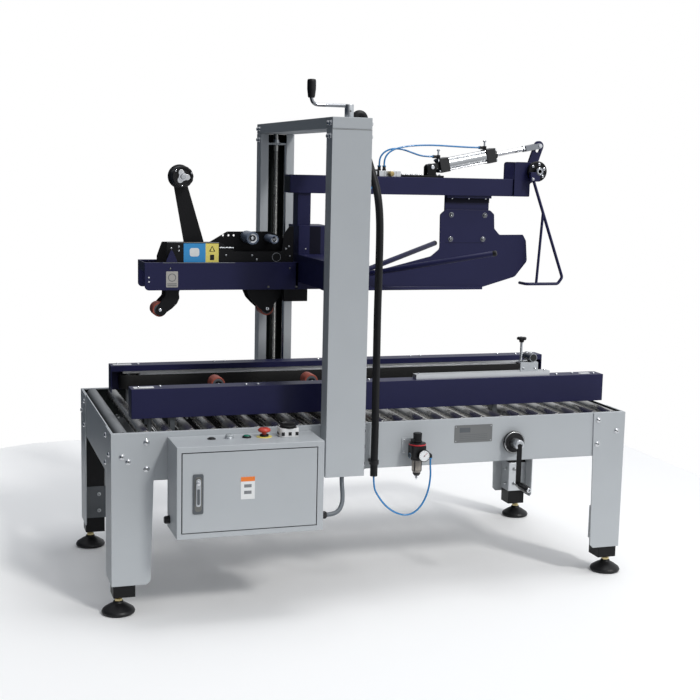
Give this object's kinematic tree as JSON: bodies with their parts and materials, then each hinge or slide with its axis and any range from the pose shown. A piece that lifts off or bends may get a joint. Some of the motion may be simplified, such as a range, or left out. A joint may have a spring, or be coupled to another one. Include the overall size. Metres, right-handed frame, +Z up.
{
  "type": "carton sealer machine",
  "caption": "Side-belt carton sealing machine: roller table with driven side belts, column-guided lift head with tape unit, flap plow and air kicker, and a control box.",
  "frame": {"origin": "floor level under the middle of the machine's own box", "axes": "+X towards the infeed end, cartons travel to -X; -Y is the operator's side; +Z up"},
  "size_m": [1.81, 1.0334, 1.648],
  "materials": {
    "grey_paint": "semi-gloss powder coat",
    "navy_paint": "semi-gloss powder coat",
    "black_paint": "satin paint",
    "roller_steel": "turned, zinc plated",
    "bright_steel": "ground and plated",
    "dark_steel": "oiled",
    "zinc": "zinc plated",
    "aluminium": "anodised",
    "black_plastic": "moulded",
    "black_hose": "corrugated",
    "grey_hose": "smooth",
    "belt_rubber": "ribbed",
    "roller_rubber": "ground",
    "green_plastic": "moulded",
    "red_plastic": "moulded",
    "blue_tube": "extruded"
  },
  "bodies": {
    "frame": {"table_frame": "grey_paint", "outer_legs": "grey_paint", "near_column": "grey_paint", "far_column": "grey_paint", "top_beam": "grey_paint", "guide_rods": "bright_steel", "drive_chain": "dark_steel", "frame_bolts": "zinc", "control_box": "grey_paint", "panel_fittings": "black_plastic", "filter_regulator": "black_plastic", "box_hose": "grey_hose", "main_conduit": "black_hose", "regulator_tube": "blue_tube", "lower_tape_frame": "black_paint", "table_rollers": "roller_steel"},
    "leg_extensions": {"inner_legs": "black_paint", "leveling_feet": "black_plastic"},
    "head": {"lift_carriage": "navy_paint", "head_frame": "navy_paint", "top_arm": "navy_paint", "flap_plow": "navy_paint", "air_valve": "aluminium", "valve_tube_front": "blue_tube", "valve_tube_rear": "blue_tube", "upper_tape_frame": "black_paint"},
    "lift_crank": {"lift_crank": "zinc"},
    "lift_grip": {"lift_grip": "black_plastic"},
    "far_screw": {"far_screw": "zinc"},
    "width_crank": {"width_crank": "black_paint"},
    "width_grip": {"width_grip": "black_plastic"},
    "near_belt_unit": {"near_cover": "navy_paint", "near_belt_bed": "aluminium", "near_belt": "belt_rubber", "sensor_bracket": "aluminium"},
    "far_belt_unit": {"far_cover": "navy_paint", "far_belt_bed": "aluminium", "far_belt": "belt_rubber"},
    "near_drive_pulley": {"near_drive_pulley": "aluminium"},
    "near_idler_pulley": {"near_idler_pulley": "aluminium"},
    "far_drive_pulley": {"far_drive_pulley": "aluminium"},
    "far_idler_pulley": {"far_idler_pulley": "aluminium"},
    "box_door": {"box_door": "grey_paint"},
    "door_lock": {"door_lock": "zinc"},
    "start_button": {"start_button": "green_plastic"},
    "stop_button": {"stop_button": "red_plastic"},
    "main_switch_knob": {"main_switch_knob": "black_plastic"},
    "regulator_knob": {"regulator_knob": "black_plastic"},
    "cylinder_barrel": {"cylinder_barrel": "aluminium"},
    "piston_rod": {"piston_rod": "bright_steel"},
    "kicker": {"kicker": "navy_paint"},
    "upper_feed_arm": {"upper_feed_arm": "black_paint"},
    "upper_exit_arm": {"upper_exit_arm": "black_paint"},
    "upper_feed_roller": {"upper_feed_roller": "roller_rubber"},
    "upper_exit_roller": {"upper_exit_roller": "roller_rubber"},
    "upper_reel_hub": {"upper_reel_hub": "black_plastic"},
    "lower_feed_arm": {"lower_feed_arm": "black_paint"},
    "lower_exit_arm": {"lower_exit_arm": "black_paint"},
    "lower_feed_roller": {"lower_feed_roller": "roller_rubber"},
    "lower_exit_roller": {"lower_exit_roller": "roller_rubber"}
  },
  "joints": [
    {"name": "table_height", "type": "slide", "parent": "frame", "child": "leg_extensions", "axis": [0, 0, -1], "range_m": [0, 0.15]},
    {"name": "head_lift", "type": "slide", "parent": "frame", "child": "head", "axis": [0, 0, 1], "range_m": [-0.18, 0.14]},
    {"name": "lift_crank_turn", "type": "hinge", "parent": "frame", "child": "lift_crank", "pos_m": [-0.156, -0.38125, 1.55], "axis": [0, 0, 1], "range_deg": [-6480.01, 5040.01]},
    {"name": "far_screw_turn", "type": "hinge", "parent": "frame", "child": "far_screw", "pos_m": [-0.156, 0.47875, 1.5], "axis": [0, 0, 1], "range_deg": [-6480.01, 5040.01]},
    {"name": "lift_grip_spin", "type": "hinge", "parent": "lift_crank", "child": "lift_grip", "pos_m": [-0.277, -0.38125, 1.62], "axis": [0, 0, 1], "continuous": true},
    {"name": "near_belt_width", "type": "slide", "parent": "frame", "child": "near_belt_unit", "axis": [0, 1, 0], "range_m": [-0.048, 0.12]},
    {"name": "far_belt_width", "type": "slide", "parent": "frame", "child": "far_belt_unit", "axis": [0, 1, 0], "range_m": [-0.12, 0.048]},
    {"name": "width_crank_turn", "type": "hinge", "parent": "frame", "child": "width_crank", "pos_m": [0.455, -0.37125, 0.49], "axis": [0, 1, 0], "range_deg": [-1728.01, 4320.01]},
    {"name": "width_grip_spin", "type": "hinge", "parent": "width_crank", "child": "width_grip", "pos_m": [0.455, -0.45125, 0.356], "axis": [0, 1, 0], "continuous": true},
    {"name": "near_drive_turn", "type": "hinge", "parent": "near_belt_unit", "child": "near_drive_pulley", "pos_m": [-0.735, -0.18425, 0.625], "axis": [0, 0, 1], "continuous": true},
    {"name": "near_idler_turn", "type": "hinge", "parent": "near_belt_unit", "child": "near_idler_pulley", "pos_m": [0.805, -0.18425, 0.625], "axis": [0, 0, 1], "continuous": true},
    {"name": "far_drive_turn", "type": "hinge", "parent": "far_belt_unit", "child": "far_drive_pulley", "pos_m": [-0.735, 0.28175, 0.625], "axis": [0, 0, 1], "continuous": true},
    {"name": "far_idler_turn", "type": "hinge", "parent": "far_belt_unit", "child": "far_idler_pulley", "pos_m": [0.805, 0.28175, 0.625], "axis": [0, 0, 1], "continuous": true},
    {"name": "box_door_swing", "type": "hinge", "parent": "frame", "child": "box_door", "pos_m": [-0.2735, -0.50825, 0.418], "axis": [0, 0, 1], "range_deg": [0, 110]},
    {"name": "door_lock_lift", "type": "hinge", "parent": "box_door", "child": "door_lock", "pos_m": [-0.643, -0.51125, 0.463], "axis": [-1, 0, 0], "range_deg": [0, 35]},
    {"name": "start_press", "type": "slide", "parent": "frame", "child": "start_button", "axis": [0, 0, -1], "range_m": [0, 0.003], "stiffness_N_per_m": 900, "springref_m": -0.001},
    {"name": "stop_press", "type": "slide", "parent": "frame", "child": "stop_button", "axis": [0, 0, -1], "range_m": [0, 0.004]},
    {"name": "main_switch_turn", "type": "hinge", "parent": "frame", "child": "main_switch_knob", "pos_m": [-0.342, -0.41125, 0.595], "axis": [0, 0, 1], "range_deg": [0, 90]},
    {"name": "regulator_turn", "type": "hinge", "parent": "frame", "child": "regulator_knob", "pos_m": [0.098, -0.39125, 0.53], "axis": [0, 0, 1], "range_deg": [-360, 720]},
    {"name": "kicker_swing", "type": "hinge", "parent": "head", "child": "kicker", "pos_m": [0.674, 0.04875, 1.387], "axis": [0, -1, 0], "range_deg": [0, 63.5]},
    {"name": "cylinder_tilt", "type": "hinge", "parent": "head", "child": "cylinder_barrel", "pos_m": [0.29, 0.04875, 1.393], "axis": [0, -1, 0], "range_deg": [-0.3994, 0.02]},
    {"name": "rod_stroke", "type": "slide", "parent": "cylinder_barrel", "child": "piston_rod", "axis": [0.9798, 0, 0.2001], "range_m": [-0.1012, 0]},
    {"name": "upper_feed_swing", "type": "hinge", "parent": "head", "child": "upper_feed_arm", "pos_m": [-0.262, 0.04875, 1.012], "axis": [0, 1, 0], "range_deg": [0, 45], "stiffness_Nm_per_rad": 6, "springref_deg": -28.65},
    {"name": "upper_exit_swing", "type": "hinge", "parent": "head", "child": "upper_exit_arm", "pos_m": [-0.6, 0.04875, 1.012], "axis": [0, 1, 0], "range_deg": [0, 35.01]},
    {"name": "upper_feed_roller_spin", "type": "hinge", "parent": "upper_feed_arm", "child": "upper_feed_roller", "pos_m": [-0.304, 0.04875, 0.907], "axis": [0, 1, 0], "continuous": true},
    {"name": "upper_exit_roller_spin", "type": "hinge", "parent": "upper_exit_arm", "child": "upper_exit_roller", "pos_m": [-0.668, 0.04875, 0.907], "axis": [0, 1, 0], "continuous": true},
    {"name": "upper_reel_spin", "type": "hinge", "parent": "head", "child": "upper_reel_hub", "pos_m": [-0.5945, 0.04875, 1.344], "axis": [0, 1, 0], "continuous": true},
    {"name": "lower_feed_swing", "type": "hinge", "parent": "frame", "child": "lower_feed_arm", "pos_m": [-0.099, 0.04875, 0.545], "axis": [0, -1, 0], "range_deg": [0, 62], "stiffness_Nm_per_rad": 8, "springref_deg": -34.38},
    {"name": "lower_exit_swing", "type": "hinge", "parent": "frame", "child": "lower_exit_arm", "pos_m": [-0.401, 0.04875, 0.545], "axis": [0, -1, 0], "range_deg": [0, 52.01]},
    {"name": "lower_feed_roller_spin", "type": "hinge", "parent": "lower_feed_arm", "child": "lower_feed_roller", "pos_m": [-0.141, 0.04875, 0.651], "axis": [0, 1, 0], "continuous": true},
    {"name": "lower_exit_roller_spin", "type": "hinge", "parent": "lower_exit_arm", "child": "lower_exit_roller", "pos_m": [-0.469, 0.04875, 0.651], "axis": [0, 1, 0], "continuous": true}
  ],
  "couplings": [
    {"joint": "lift_crank_turn", "follows": "head_lift", "rad_per_m": 628.32},
    {"joint": "far_screw_turn", "follows": "head_lift", "rad_per_m": 628.32},
    {"joint": "far_belt_width", "follows": "near_belt_width", "ratio": -1},
    {"joint": "width_crank_turn", "follows": "near_belt_width", "rad_per_m": 628.32},
    {"joint": "near_idler_turn", "follows": "near_drive_turn", "ratio": 1},
    {"joint": "far_idler_turn", "follows": "far_drive_turn", "ratio": 1},
    {"joint": "cylinder_tilt", "follows": "kicker_swing", "ratio": -0.0059742},
    {"joint": "rod_stroke", "follows": "kicker_swing", "m_per_rad": -0.091135},
    {"joint": "upper_exit_swing", "follows": "upper_feed_swing", "ratio": 0.77778},
    {"joint": "lower_exit_swing", "follows": "lower_feed_swing", "ratio": 0.83871}
  ]
}
